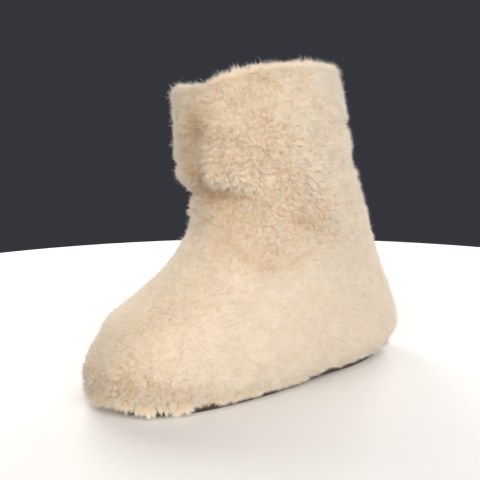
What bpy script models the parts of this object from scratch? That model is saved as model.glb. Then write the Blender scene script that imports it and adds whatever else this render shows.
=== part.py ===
"""Left house slipper of pile wool, standing empty: upper with foot and shaft in one, outsole and insole.

Metres, +Z up, toe towards -Y, the wearer's outer side towards +X. The origin is at the middle of the box's
underside. Sizes in the tables are millimetres: along the foot from the heel's end, across from the last's
middle line to the outer side, and up from the floor.
"""

from collections import namedtuple
import math

import bmesh
import bpy
import numpy as np

MM = 0.001
GAP = 0.3

# Outsole of suede
SOLE_THICK = 4.5
SOLE_INSET = 5.0
SOLE_EDGE_ROUND = 1.2
ARCH_START = 72.0
ARCH_END = 138.0
ARCH_RISE_INNER = 3.0
ARCH_RISE_OUTER = 1.5
TOE_SPRING = 2.5
TOE_SPRING_START = 218.0
HEEL_RISE = 1.0
HEEL_RISE_END = 20.0

# Wool footbed inside
INSOLE_THICK = 6.0
INSOLE_EDGE_ROUND = 2.0
INSOLE_CLEAR = 1.5

# Wall of the upper, pile and hide together
WALL_FOOT = 10.0
WALL_COLLAR = 9.0
LIP_RISE = 4.0

# Pile that hangs over the sole's edge at the toe
HEM_DROP = 3.0
HEM_DROP_START = 205.0
HEM_DROP_FULL = 245.0
HEM_EDGE = 3.8
HEM_STEP = 4.6

# Left curve of the last: the toe swings to the inner side, and the waist is narrower
TOE_SWING = 8.0
TOE_SWING_START = 120.0
WAIST_AT = 102.0
WAIST_REACH = 42.0
WAIST_INNER = 0.10
WAIST_OUTER = 0.04
WAIST_TOP = 70.0

# Level sections of the upper's outside, from the hem up to the collar
Section = namedtuple(
    "Section",
    "front front_z back back_z outer inner widest lean round_front round_back",
)
SECTIONS = {
    "hem": Section(265, 4.8, 8, 4.8, 49, 48, 0.62, 0, 2.8, 2.6),
    "welt": Section(267, 24, 0, 26, 57, 54, 0.61, 0, 2.5, 2.8),
    "toe": Section(253, 54, 9, 54, 55, 53, 0.58, 0, 2.3, 2.6),
    "vamp": Section(221, 74, 20, 78, 52, 51, 0.54, 0, 2.2, 2.4),
    "throat": Section(197, 95, 28, 98, 51, 50, 0.52, 0, 2.1, 2.2),
    "instep": Section(185, 116, 35, 117, 51, 50, 0.50, 1, 2.0, 2.1),
    "ankle": Section(184, 137, 42, 138, 51, 51, 0.50, 2, 2.0, 2.0),
    "shaft": Section(191, 153, 49, 162, 52, 52, 0.50, 4, 2.0, 2.0),
    "cuff": Section(191, 183, 55, 189, 53, 53, 0.50, 6, 2.0, 2.0),
    "collar": Section(189, 210, 64, 221, 52, 52, 0.50, 8, 2.0, 2.0),
}

# Soft troughs from one place on the outside to another: degrees round from the toe by the outer side, height
Fold = namedtuple("Fold", "angle height to_angle to_height half_width depth")
FOLDS = {
    "front_seam": Fold(2, 128, 0, 196, 9, 5.0),
    "ankle": Fold(-40, 136, 50, 132, 8, 4.0),
    "instep": Fold(8, 108, 78, 100, 9, 2.5),
    "back_upper": Fold(110, 182, 190, 185, 8, 1.5),
    "back_lower": Fold(115, 153, 190, 156, 8, 1.5),
}
FOLD_MM_PER_DEGREE = 1.05
FOLD_FADE = 0.35

# Locks of wool fused to the outside, in staggered rows
LOCKS_ROUND = 20
LOCK_LENGTH = 21.0
LOCK_PROUD_FOOT = 1.0
LOCK_PROUD_SHAFT = 2.0
LOCK_FADE = 16.0

# Mesh of the upper
STEPS_ROUND = 80
RINGS_OUTSIDE = 36
RINGS_INSIDE = 14
RINGS_LIP = 3
INSIDE_LOW = 0.045

# Mesh of the soles
SOLE_STATIONS = 34
SOLE_COLUMNS = 8

WOOL = (0.80, 0.67, 0.51)
FOOTBED = (0.74, 0.61, 0.46)
SUEDE = (0.055, 0.042, 0.032)


def smooth_through(knots, values, at):
    """Values at the given places on a smooth curve through the knots that doesn't swing past them."""
    step = np.diff(knots)
    slope = np.diff(values, axis=0) / step[:, None]
    tangent = np.zeros_like(values)
    tangent[0] = slope[0]
    tangent[-1] = slope[-1]
    rising = slope[:-1] * slope[1:] > 0
    both = np.where(rising, slope[:-1] + slope[1:], 1.0)
    tangent[1:-1] = np.where(rising, 2 * slope[:-1] * slope[1:] / both, 0.0)
    index = np.clip(np.searchsorted(knots, at, side="right") - 1, 0, len(step) - 1)
    width = step[index][:, None]
    part = (at - knots[index])[:, None] / width
    return (
        values[index] * (1 + 2 * part) * (1 - part) ** 2
        + tangent[index] * width * part * (1 - part) ** 2
        + values[index + 1] * part**2 * (3 - 2 * part)
        + tangent[index + 1] * width * part**2 * (part - 1)
    )


def smooth_step(value, low, high):
    part = np.clip((value - low) / (high - low), 0, 1)
    return part * part * (3 - 2 * part)


def sole_lift(along, across):
    """Height of the outsole's underside: flat under heel and forefoot, raised at arch, toe and heel's end."""
    arch = np.clip((along - ARCH_START) / (ARCH_END - ARCH_START), 0, 1)
    inner_share = np.clip(0.5 - across / SECTIONS["hem"].outer / 2, 0, 1)
    arch_rise = ARCH_RISE_OUTER + (ARCH_RISE_INNER - ARCH_RISE_OUTER) * inner_share
    toe_length = SECTIONS["hem"].front - TOE_SPRING_START
    toe = np.clip((along - TOE_SPRING_START) / toe_length, 0, 1)
    heel = np.clip((HEEL_RISE_END - along) / HEEL_RISE_END, 0, 1)
    return arch_rise * np.sin(math.pi * arch) ** 2 + TOE_SPRING * toe**2 + HEEL_RISE * heel**2


def follow_last(along, across, height):
    """Across position with the left curve of the last: narrower waist near the sole, toe swung inwards."""
    waist = np.exp(-(((along - WAIST_AT) / WAIST_REACH) ** 2)) * (1 - smooth_step(height, 0, WAIST_TOP))
    narrow = np.where(across > 0, WAIST_OUTER, WAIST_INNER)
    forward = np.clip((along - TOE_SWING_START) / (SECTIONS["welt"].front - TOE_SWING_START), 0, 1)
    return across * (1 - narrow * waist) - TOE_SWING * forward**2


def outside(angle, place):
    """Points of the smooth outside at angles round from the toe and places from 0, hem, to 1, collar."""
    rows = np.array(list(SECTIONS.values()), float)
    columns = smooth_through(np.linspace(0, 1, len(rows)), rows, place).T[:, :, None]
    front, front_z, back, back_z, outer, inner, widest, lean, round_front, round_back = columns
    middle = back + widest * (front - back)
    ahead = np.cos(angle)[None, :]
    aside = np.sin(angle)[None, :]
    power = 2 / np.where(ahead >= 0, round_front, round_back)
    reach = np.where(ahead >= 0, front - middle, middle - back)
    along = middle + reach * np.sign(ahead) * np.abs(ahead) ** power
    across = np.where(aside >= 0, outer, inner) * np.sign(aside) * np.abs(aside) ** power
    height = back_z + (front_z - back_z) * (along - back) / (front - back)
    # A section that leans inwards tips with it: its outer edge stands higher than its inner one.
    height = height + lean * np.sign(aside) * np.abs(aside) ** power
    low = 1 - smooth_step(height, SECTIONS["hem"].front_z, SECTIONS["toe"].front_z)
    height = height + low * sole_lift(along, across)
    return np.stack([follow_last(along, across, height) - lean, along, height], axis=-1)


def normals_of(points):
    """Outward directions of a grid of points, rings first, closed round each ring."""
    round_way = np.roll(points, -1, axis=1) - np.roll(points, 1, axis=1)
    up_way = np.gradient(points, axis=0)
    # The second column counts from heel to toe, against +Y, so the product is turned round.
    across = -np.cross(round_way, up_way)
    return across / np.linalg.norm(across, axis=-1, keepdims=True)


def fold_depth(angle, height):
    """How far the folds press the wall in, at angles in degrees and heights of the same shape."""
    depth = np.zeros(height.shape)
    for fold in FOLDS.values():
        turn = np.broadcast_to((angle - fold.angle + 180) % 360 - 180, height.shape)
        run = np.array([(fold.to_angle - fold.angle) * FOLD_MM_PER_DEGREE, fold.to_height - fold.height])
        offset = np.stack([turn * FOLD_MM_PER_DEGREE, height - fold.height], axis=-1)
        share = np.clip(offset @ run / (run @ run), 0, 1)
        distance = np.linalg.norm(offset - share[..., None] * run, axis=-1)
        ends = smooth_step(np.minimum(share, 1 - share), -FOLD_FADE / 4, FOLD_FADE)
        depth += fold.depth * ends * np.exp(-((distance / fold.half_width) ** 2))
    return depth


def lock_height(angle, points):
    """How far the wool's locks stand proud of the smooth outside."""
    rise = np.linalg.norm(np.diff(points, axis=0), axis=-1)
    run = np.concatenate([np.zeros((1, points.shape[1])), np.cumsum(rise, axis=0)])
    row = run / LOCK_LENGTH
    stagger = math.pi * np.floor(row)
    column = 0.5 + 0.5 * np.cos(LOCKS_ROUND * angle[None, :] + stagger)
    swell = np.sin(math.pi * (row - np.floor(row))) ** 2
    ankle = SECTIONS["ankle"].front_z
    shaft_share = smooth_step(points[..., 2], ankle / 2, ankle)
    proud = LOCK_PROUD_FOOT + (LOCK_PROUD_SHAFT - LOCK_PROUD_FOOT) * shaft_share
    return proud * column * swell * smooth_step(run, 0, LOCK_FADE)


def upper_rings():
    """Rings of the wall in millimetres: up the outside, over the lip, down the inside, under the hem."""
    angle = np.linspace(0, 2 * math.pi, STEPS_ROUND, endpoint=False)
    turn = np.degrees(angle)[None, :]

    place = np.linspace(0, 1, RINGS_OUTSIDE)
    smooth = outside(angle, place)
    normal = normals_of(smooth)
    pressed = fold_depth(turn, smooth[..., 2])
    proud = lock_height(angle, smooth)
    outer = smooth + normal * (proud - pressed)[..., None]

    inner_place = np.linspace(1, INSIDE_LOW, RINGS_INSIDE)
    inner_smooth = outside(angle, inner_place)
    inner_normal = -normals_of(inner_smooth)
    wall = WALL_FOOT + (WALL_COLLAR - WALL_FOOT) * inner_place
    inner_pressed = fold_depth(turn, inner_smooth[..., 2])
    inner = inner_smooth - inner_normal * (wall[:, None] + inner_pressed)[..., None]

    lip = []
    top = smooth[-1] - smooth[-2]
    top = top / np.linalg.norm(top, axis=-1, keepdims=True)
    middle = (outer[-1] + inner[0]) / 2
    for turned in np.linspace(0, math.pi, RINGS_LIP + 2)[1:-1]:
        lip.append(middle + (outer[-1] - middle) * math.cos(turned) + top * LIP_RISE * math.sin(turned))

    flat = normal[0] * [1, 1, 0]
    flat = flat / np.linalg.norm(flat, axis=-1, keepdims=True)
    drop = HEM_DROP * smooth_step(smooth[0, :, 1], HEM_DROP_START, HEM_DROP_FULL)
    seat = smooth[0] - flat * WALL_FOOT
    step = smooth[0] - flat * HEM_STEP
    edge = smooth[0] - flat * HEM_EDGE
    for ring, hang in ((seat, 0), (step, 0), (edge, drop), (outer[0], drop)):
        ring[:, 2] = sole_lift(ring[:, 1], ring[:, 0]) + SOLE_THICK + GAP - hang
    return np.concatenate([outer, lip, inner, [seat, step, edge]])


def box_middle(points):
    """Middle of the upper's box, across and along, which the origin lies under."""
    return (points.reshape(-1, 3).min(axis=0) + points.reshape(-1, 3).max(axis=0))[:2] / 2


def to_frame(points, middle):
    """Metres in the part's frame from millimetres across, along and up."""
    across = points[..., 0] - middle[0]
    along = middle[1] - points[..., 1]
    return np.stack([across, along, points[..., 2]], axis=-1) * MM


def material(name, colour, roughness):
    made = bpy.data.materials.new(name)
    made.use_nodes = True
    shader = made.node_tree.nodes["Principled BSDF"]
    shader.inputs["Base Color"].default_value = (*colour, 1)
    shader.inputs["Roughness"].default_value = roughness
    shader.inputs["Metallic"].default_value = 0
    made.diffuse_color = (*colour, 1)
    return made


def add_object(name, mesh_builder, surface, collection):
    mesh = bpy.data.meshes.new(name)
    mesh_builder.to_mesh(mesh)
    mesh_builder.free()
    mesh.shade_smooth()
    made = bpy.data.objects.new(name, mesh)
    made.data.materials.append(surface)
    collection.objects.link(made)
    return made


def make_upper(rings, middle, collection):
    """One closed wall: the rings are joined each to the next and the last to the first."""
    built = bmesh.new()
    loops = [[built.verts.new(point) for point in ring] for ring in to_frame(rings, middle)]
    for lower, upper in zip(loops, loops[1:] + loops[:1]):
        for step in range(STEPS_ROUND):
            ahead = (step + 1) % STEPS_ROUND
            built.faces.new((lower[step], lower[ahead], upper[ahead], upper[step]))
    bmesh.ops.triangulate(built, faces=built.faces[:])
    return add_object("upper", built, material("wool", WOOL, 0.95), collection)


def make_sole_plate(name, inset, base, thick, edge_round, middle, surface, collection):
    """A plate with the hem's outline drawn in by the inset, laid along the last's underside."""
    hem = SECTIONS["hem"]
    front = hem.front - inset
    back = hem.back + inset
    widest = hem.back + hem.widest * (hem.front - hem.back)
    built = bmesh.new()
    bmesh.ops.create_grid(built, x_segments=SOLE_COLUMNS, y_segments=SOLE_STATIONS, size=1)
    for vert in built.verts:
        ahead = math.sin(vert.co.y * math.pi / 2)
        power = hem.round_front if ahead > 0 else hem.round_back
        reach = front - widest if ahead > 0 else widest - back
        side = (hem.outer if vert.co.x > 0 else hem.inner) - inset
        along = widest + reach * ahead
        across = vert.co.x * side * max(0, 1 - abs(ahead) ** power) ** (1 / power)
        across = float(follow_last(along, across, hem.front_z))
        height = base + float(sole_lift(along, across))
        vert.co = to_frame(np.array([across, along, height]), middle)
    bmesh.ops.remove_doubles(built, verts=built.verts[:], dist=0.01 * MM)
    # The grid becomes the underside, so its faces look down.
    for face in built.faces:
        face.normal_update()
        if face.normal.z > 0:
            face.normal_flip()
    plate = add_object(name, built, surface, collection)
    solidify = plate.modifiers.new("thickness", "SOLIDIFY")
    solidify.thickness = thick * MM
    solidify.offset = -1
    solidify.use_even_offset = True
    rounding = plate.modifiers.new("edge", "BEVEL")
    rounding.width = edge_round * MM
    rounding.segments = 2
    rounding.limit_method = "ANGLE"
    rounding.angle_limit = math.radians(50)
    return plate


def main():
    for old in list(bpy.data.objects):
        bpy.data.objects.remove(old)
    slipper = bpy.data.collections.new("wool_slipper")
    bpy.context.scene.collection.children.link(slipper)

    rings = upper_rings()
    middle = box_middle(rings)
    make_upper(rings, middle, slipper)
    suede = material("suede", SUEDE, 0.9)
    make_sole_plate("outsole", SOLE_INSET, 0, SOLE_THICK, SOLE_EDGE_ROUND, middle, suede, slipper)
    footbed = material("footbed", FOOTBED, 0.95)
    insole_inset = WALL_FOOT + INSOLE_CLEAR
    insole_base = SOLE_THICK + GAP
    make_sole_plate(
        "insole", insole_inset, insole_base, INSOLE_THICK, INSOLE_EDGE_ROUND, middle, footbed, slipper
    )


main()
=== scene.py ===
"""Looks of the left wool slipper: pile, fuzz, lining, footbed, suede sole, floor, light and camera.

Lengths inside the functions are millimetres in the part's frame: toe towards -Y, the wearer's outer side
towards +X, +Z up. Meshes are scaled to metres as they are made.

Pairs of numbers among the constants are ranges.
"""

import itertools
import math
from collections import namedtuple

import bpy
import numpy as np
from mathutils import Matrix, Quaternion, Vector


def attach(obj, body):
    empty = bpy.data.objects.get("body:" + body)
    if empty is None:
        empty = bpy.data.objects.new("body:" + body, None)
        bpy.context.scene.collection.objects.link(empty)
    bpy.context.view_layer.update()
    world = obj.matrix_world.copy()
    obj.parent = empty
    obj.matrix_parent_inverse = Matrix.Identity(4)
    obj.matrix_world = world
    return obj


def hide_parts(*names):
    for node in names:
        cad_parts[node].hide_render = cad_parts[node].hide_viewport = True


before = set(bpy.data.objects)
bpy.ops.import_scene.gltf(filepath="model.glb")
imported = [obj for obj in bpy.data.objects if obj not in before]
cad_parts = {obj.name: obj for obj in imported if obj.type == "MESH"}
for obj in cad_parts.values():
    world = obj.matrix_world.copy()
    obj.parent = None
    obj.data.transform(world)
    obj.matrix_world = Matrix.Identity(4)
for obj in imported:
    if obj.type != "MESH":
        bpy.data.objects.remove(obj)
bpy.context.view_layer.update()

MM = 0.001
SEED = 20

# Kinds of constants: an amount with what a full share of something adds to it, and two distributions
Graded = namedtuple("Graded", "base gain")
Gamma = namedtuple("Gamma", "shape scale")
Normal = namedtuple("Normal", "mean spread")

# The last, as the solids have it
SOLE_THICK = 4.5
GAP = 0.3
ARCH_START = 72.0
ARCH_END = 138.0
ARCH_RISE_INNER = 3.0
ARCH_RISE_OUTER = 1.5
TOE_SPRING = 2.5
TOE_SPRING_START = 218.0
HEEL_RISE = 1.0
HEEL_RISE_END = 20.0
WALL_FOOT = 10.0
WALL_COLLAR = 9.0
LIP_RISE = 4.0
HEM_DROP = 3.0
HEM_DROP_START = 205.0
HEM_DROP_FULL = 245.0
TOE_SWING = 8.0
TOE_SWING_START = 120.0
WAIST_AT = 102.0
WAIST_REACH = 42.0
WAIST_INNER = 0.10
WAIST_OUTER = 0.04
WAIST_TOP = 70.0
INSIDE_LOW = 0.045
MIDDLE_ACROSS = -2.646
MIDDLE_ALONG = 133.779

Section = namedtuple("Section", "front front_z back back_z outer inner widest lean round_front round_back")
SECTIONS = {
    "hem": Section(265, 4.8, 8, 4.8, 49, 48, 0.62, 0, 2.8, 2.6),
    "welt": Section(267, 24, 0, 26, 57, 54, 0.61, 0, 2.5, 2.8),
    "toe": Section(253, 54, 9, 54, 55, 53, 0.58, 0, 2.3, 2.6),
    "vamp": Section(221, 74, 20, 78, 52, 51, 0.54, 0, 2.2, 2.4),
    "throat": Section(197, 95, 28, 98, 51, 50, 0.52, 0, 2.1, 2.2),
    "instep": Section(185, 116, 35, 117, 51, 50, 0.50, 1, 2.0, 2.1),
    "ankle": Section(184, 137, 42, 138, 51, 51, 0.50, 2, 2.0, 2.0),
    "shaft": Section(191, 153, 49, 162, 52, 52, 0.50, 4, 2.0, 2.0),
    "cuff": Section(191, 183, 55, 189, 53, 53, 0.50, 6, 2.0, 2.0),
    "collar": Section(189, 210, 64, 221, 52, 52, 0.50, 8, 2.0, 2.0),
}

# Soft troughs in the wool: degrees round from the toe by the outer side, height, half width and depth
Fold = namedtuple("Fold", "angle height to_angle to_height half_width depth")
FOLDS = {
    "front_seam": Fold(2, 128, 0, 196, 9, 5.0),
    "ankle": Fold(-40, 136, 50, 132, 8, 4.0),
    "instep": Fold(8, 108, 78, 100, 9, 2.5),
    "back_upper": Fold(110, 182, 190, 185, 8, 1.5),
    "back_lower": Fold(115, 153, 190, 156, 8, 1.5),
}
FOLD_MM_PER_DEGREE = 1.05
FOLD_FADE = 0.35

# Creases, and ridges with a depth below zero, that are finer than the solids' folds
CREASES = {
    "seam_upper": Fold(4, 196, 12, 172, 7, 1.4),
    "seam_lower": Fold(2, 158, 6, 137, 7, 1.4),
    "ankle_front": Fold(2, 136, 46, 135, 2.4, 2.2),
    "ankle_back": Fold(46, 135, 74, 141, 3.2, 0.6),
    "ankle_roll": Fold(0, 147, 60, 144, 7.0, -1.6),
    "inner_roll": Fold(-4, 147, -60, 142, 7.0, -1.4),
    "wrinkle_front": Fold(26, 106, 50, 92, 2.3, 1.3),
    "wrinkle_low": Fold(50, 92, 66, 88, 2.3, 1.7),
    "wrinkle_back": Fold(66, 88, 86, 100, 2.3, 1.5),
    "hollow": Fold(64, 123, 80, 114, 5.0, 1.2),
    "hollow_back": Fold(80, 114, 96, 105, 3.5, 0.8),
    "shaft_curl": Fold(30, 180, 46, 164, 3.0, 0.8),
    "shaft_middle": Fold(48, 160, 80, 150, 3.2, 0.6),
    "inner_ankle": Fold(-8, 136, -58, 132, 3.0, 2.4),
    "inner_wrinkle": Fold(-40, 104, -82, 96, 3.2, 1.6),
    "inner_hollow": Fold(-60, 122, -90, 114, 5.0, 1.6),
    "inner_shaft": Fold(-34, 172, -66, 158, 3.2, 1.2),
}

# Where the wool is curly, where it clumps, and where shade is painted on it in tan: middle, reach and amount
Patch = namedtuple("Patch", "angle height angle_reach height_reach amount")
CURLY = {
    "outer_shaft": Patch(58, 150, 56, 54, 1.0),
    "inner_shaft": Patch(-58, 150, 56, 54, 1.0),
    "front": Patch(0, 155, 30, 46, 0.8),
    "back": Patch(180, 150, 70, 60, 0.5),
    "outer_hem": Patch(90, 6, 70, 10, 0.5),
    "inner_hem": Patch(-90, 6, 70, 10, 0.5),
    "heel_hem": Patch(180, 6, 50, 10, 0.5),
    "toe_cap": Patch(0, 24, 36, 26, 0.55),
    "outer_toe": Patch(34, 14, 30, 15, 0.5),
    "inner_toe": Patch(-34, 14, 30, 15, 0.5),
}
CLUMPED = {
    "toe_cap": Patch(0, 22, 44, 26, 1.0),
    "outer_toe": Patch(40, 12, 34, 14, 1.0),
    "inner_toe": Patch(-40, 12, 34, 14, 1.0),
}
# Painted shade in tan where shade falls: pockets and hollows, the seam's furrow, under the roll above the
# ankle crease, the front lobe and wrinkles
PAINTED_SHADE_PATCHES = {
    "seam_pocket": Patch(7, 182, 12, 17, 0.3),
    "ankle_pocket": Patch(4, 142, 10, 10, 0.25),
    "roll_under": Patch(22, 140, 20, 6, 0.3),
    "seam": Patch(2, 160, 14, 36, 0.12),
    "front_lobe": Patch(-16, 165, 12, 34, 0.15),
    "outer_front": Patch(20, 120, 20, 22, 0.15),
    "hollow": Patch(78, 120, 18, 14, 0.2),
    "wrinkles": Patch(60, 96, 22, 12, 0.12),
    "inner_hollow": Patch(-74, 119, 14, 12, 0.1),
    "toe_cap": Patch(-4, 26, 26, 22, 0.05),
}

# Bands in which one region passes into the next: heights, then distances towards the toe
HEM_BAND = (8, 26)
FOOT_BAND = (62, 110)
SHAFT_BAND = (90, 130)
FRONT_BAND = (100, 140)
UPPER_SHAFT_BAND = (128, 160)
RIM_BAND = (178, 214)
FLARE_HEIGHTS = (2, 46)
HANG_HEIGHTS = (3, 14)
TOE_FLARE_BAND = (70, 120)
TOE_BRUSH_BAND = (60, 110)
TOE_HANG_BAND = (84, 114)

# Soft rim of the collar, by degrees round from the toe
RIM_SIDES = 1.5
RIM_SIDES_AT = 58
RIM_SIDES_REACH = 28
RIM_FRONT = 3.0
RIM_FRONT_AT = 8
RIM_FRONT_REACH = 20
RIM_BACK = 4.0
RIM_BACK_BAND = (92, 128)

# Smooth noises: size of their lumps, and seed
Noise = namedtuple("Noise", "size seed")
LATTICE = 32
SURFACE_LARGE = Noise(15, 41)
SURFACE_SMALL = Noise(7, 42)
SURFACE_CLUMPS = Noise(7, 43)
PARTING_BENDS = (Noise(3.5, 31), Noise(3.5, 32), Noise(3.5, 33))
PARTING_LINES = Noise(7, 34)
PARTING_TWIGS = Noise(3.5, 35)
PARTING_BREAKS = Noise(9, 36)
TUFTS = Noise(5.5, 66)
COLLAR_WAVE = Noise(11, 64)
COLLAR_RIPPLE = Noise(5, 65)
HEM_WAVE = Noise(6, 61)
HEM_RIPPLE = Noise(3, 67)
FUZZ_TUFTS = Noise(4, 63)
FRINGE_TUFTS = Noise(4.5, 62)
PAD_LUMPS = Noise(12, 51)
FOOTBED_TONES = Noise(9, 52)

# Surface of the wool: depths of its lumps, graded from the foot to the shaft, and the toe's flare
LARGE_LUMPS = Graded(0.25, 1.35)
SMALL_LUMPS = Graded(0.35, 0.75)
CLUMPS_DEPTH = 1.6
FINE_MOST = 1.6
TOE_FLARE = 3.5

# Hide: depth under the wool's surface, rise in a crease, steps of its mesh in the sampling grid, and shading
HIDE_DEPTH = 2.6
HIDE_DEPTH_CURLY = 4.2
HIDE_DEPTH_LEAST = 1.8
HIDE_DEPTH_LIP = 3.4
HIDE_DEPTH_LINING = 3.0
HIDE_RISE_IN_CREASE = 1.2
HIDE_STEP_OUTSIDE = 5
HIDE_STEP_LIP = 2
HIDE_STEP_LINING = 4
HIDE_STEP_ROUND = 4
LIP_BLEND = 30
SHADE_SMOOTH = 1.5
SHADE_LIP_UP = 0.4

# Brushing of the wool: parts round and up the surface, and the lean as a share of the pile's height
Wave = namedtuple("Wave", "times climb shift")
WAVES = (Wave(3, 0.047, 1), Wave(5, -0.031, 2.1), Wave(8, 0.083, 3.7))
SWIRL_PHASE = 0.4
LIFT_PHASE = 1.9
BRUSH_SWIRL = 0.9
BRUSH_SIDE = 0.35
BRUSH_LIFT = 0.8
BRUSH_DROOP = 0.35
BRUSH_FRONT = 0.8
BRUSH_FRONT_REACH = 30
BRUSH_FRONT_TURN = 8
BRUSH_FOOT_DOWN = 0.35
BRUSH_COLLAR_UP = 1.4
BRUSH_COLLAR_ROWS = 60
BRUSH_HEM_DOWN = Graded(0.5, 1.2)
LEAN_FOOT = 1.4
LEAN_SHAFT = 1.1
LEAN_COLLAR = 0.9
LEAN_CLUMPED = 0.55

# Locks: spacing, rise by place, and reach of their strands as a share of the spacing
LOCK_TRIES = 70000
LOCK_SPACING = 2.6
LOCK_SPACING_CURLY = 3.2
LOCK_CLOSEST = 0.8
LOCK_REACH = 0.68
LOCK_TONE = 0.012
LOCK_RISES = Gamma(1.4, 0.7)
LOCK_RISE_MOST = 2.6
LOCK_RISE_MIDDLE = 0.9
LOCK_RISE_FOOT = 0.45
LOCK_RISE_SHAFT = 0.4
LOCK_RISE_COLLAR = -0.2
LOCK_RISE_CURLY = 0.2
COLLAR_ROWS = 40
LEAST_STEP = 0.05

# Strands of the pile, graded by curl, with tufts that are graded by the shaft
STRANDS = 660000
STRAND_WIDTH = 0.42
STRAND_WIDTHS = (0.7, 1.25)
STRAND_LEANS = (0.4, 1.4)
STRAND_TWIST = 0.5
STRAND_LEAST = 1.2
STRAND_RISE = 0.3
STRAND_SCATTER = 0.4
STRAND_ASTRAY = 0.85
STRAND_BRUSHED = Graded(0.6, -0.3)
STRAND_CURL = 0.6
STRAND_LEAN_BY_CURL = Graded(1, -0.65)
RAGGED_SHAPE = 1.2
RAGGED = Graded(0.4, -0.15)
RAGGED_COLLAR = 0.35
DOME = Graded(0.2, 0.5)
CLUMP = Graded(0.15, 0.3)
ROUNDED = Graded(0.2, 0.3)
FACING_SHARE = 0.15
COLLAR_WAVE_RISE = 1.4
COLLAR_RIPPLE_RISE = 0.8
TUFT_STRETCH = np.array([0.7, 0.7, 1.35])
TUFT_RISE = Graded(0.6, 0.7)
SHADOW_SHARE = 0.3
THROUGH_SHARE = 0.4
PILE_BANDS = ("hem", "foot", "ankle", "shaft")

# Partings between the tufts
PARTING_BEND = 1.8
PARTING_TWIG = 0.5
PARTING_WIDTH = 0.18
PARTING_BREAK_BAND = (-0.5, 0.2)
PARTING_BY_CURL = Graded(0.06, 0.94)
PARTING_BY_HEIGHT = Graded(1.2, -0.5)
PARTING_DEPTH = 2.2
PARTING_LEAVES = 1.0

# Painted shade: how much tan goes into sunk places, partings, creases, low tufts and the rim, and how tones
# vary by chance
PAINTED_SHADE_SUNK = 0.035
PAINTED_SHADE_PARTED = 0.75
PAINTED_SHADE_CREASE = 0.19
PAINTED_SHADE_LOW_TUFT = 0.05
PAINTED_SHADE_RIM = 0.12
PAINTED_SHADE_RIM_ROWS = 12
PAINTED_SHADE_SPREAD = 0.06
STRAND_TONE = 0.02

# Hang of the wool over the hem, with a wave that is graded by the toe
HEM_HANG = 0.3
HEM_RAGGED = 0.9
HEM_WAVE_DEPTH = Graded(2.4, -1.2)
HEM_RIPPLE_DEPTH = 1.2
HEM_PUSH_OUT = 0.2
TOE_HANG = 3.5
FLOOR_CLEAR = 0.3

# Hairs: fuzz all over, the fringe at the hem and strays
HAIR_WIDTHS = (0.7, 1.3)
HAIR_TWIST = 0.6
FUZZ = 70000
FUZZ_WIDTH = 0.16
FUZZ_ROOT = 2
FUZZ_STANDS = Gamma(2.0, 0.8)
FUZZ_STAND_MOST = 4.5
FUZZ_LEAN_MOST = 2.6
FUZZ_TUFT_LEAST = -0.4
FUZZ_BY_TUFT = Graded(0.7, 1.3)
FUZZ_TONE = 0.03
FRINGE_TRIES = 24000
FRINGE_WIDTH = 0.3
FRINGE_ROWS = 10
FRINGE_KEEP = (-0.1, 0.6)
FRINGE_ROOT = 1.5
FRINGE_LENGTHS = (1.8, 5.0)
FRINGE_BY_TUFT = Graded(0.6, 1.1)
FRINGE_OUT = (0.7, 1.4)
FRINGE_DOWN = (0.2, 1.0)
FRINGE_SCATTER = 0.6
# The fringe's tones: darker on average as painted shade, since its outermost hairs get none of the pile's own
# shadow, and differing at random
FRINGE_SHADED_TONES = Normal(0.91, 0.04)
FRINGE_FACING = 0.4
STRAYS = 2200
STRAY_WIDTH = 0.13
STRAY_ROOT = 1.5
STRAY_LENGTHS = (4, 10)
STRAY_STANDS = (0.2, 0.8)
STRAY_SCATTER = 0.5
STRAY_BEND = 0.18
STRAY_ALONG = 0.8
STRAY_OUT = Graded(1.3, -0.6)
STRAY_KNOTS = (0.0, 0.3, 0.6, 0.85, 1.0)
STRAY_WEIGHT = Graded(0.25, 6)
STRAY_COLLAR_PAST = 8

# Lining
LINING_STRANDS = 75000
LINING_WIDTH = 0.8
LINING_WEIGHT = Graded(0.35, 2.2)
LINING_COLLAR_ROWS = 40
LINING_WEIGHT_FOOT = 1.2
LINING_FOOT_ROWS = 8
LINING_DOWN = 0.6
LINING_HEIGHTS = (0.7, 1.3)
LINING_LEANS = (0.3, 1.2)
LINING_TONES = Normal(0.96, 0.04)
SHORT_PILE_FACING = 0.3

# Footbed inside the upper
INSOLE_INSET = 11.5
INSOLE_THICK = 6.0
FOOTBED_EDGE = 4.0
FOOT_REACH = 1.0
FOOT_RISE = 3.8
FOOTBED_SQUARE = 14
FOOTBED_COLUMNS = 120
FOOTBED_RINGS_UNDER = 12
FOOTBED_RINGS_OVER = 40
FOOTBED_MIDDLE = 0.04
FOOTBED_LUMP = 0.4
FOOTBED_STRANDS = 36000
FOOTBED_WIDTH = 0.9
FOOTBED_MOST_AREA = 0.98
FOOTBED_RIM_SHARE = 0.25
FOOTBED_RIM = (0.93, 0.995)
FOOTBED_RIM_BAND = (0.9, 0.98)
FOOTBED_RIM_OUT = 2
FOOTBED_ROOT = 0.6
FOOTBED_HEIGHTS = (1.6, 3.2)
FOOTBED_LEANS = (0.3, 1.1)
FOOTBED_TONE_LUMPS = 0.05
FOOTBED_TONE = 0.03

# Sampling grid of the wool's surface: up the outside, over the lip and down the lining
GRID_ROUND = 720
ROWS_OUTSIDE = 380
ROWS_LIP = 16
ROWS_INSIDE = 120
ROWS_FOOT = 16
ROWS_UNDER_LIP = ROWS_OUTSIDE + ROWS_LIP
DEGREES_PER_STEP = 360 / GRID_ROUND

# Colours, linear
CREAM = (0.945, 0.905, 0.835)
# Roots and the hide are darker and tanner than the tips as painted shade deep in the pile; the lining's and
# footbed's roots and the footbed pad are darker in the same way
SHADED_ROOT = (0.85, 0.70, 0.50)
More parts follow.
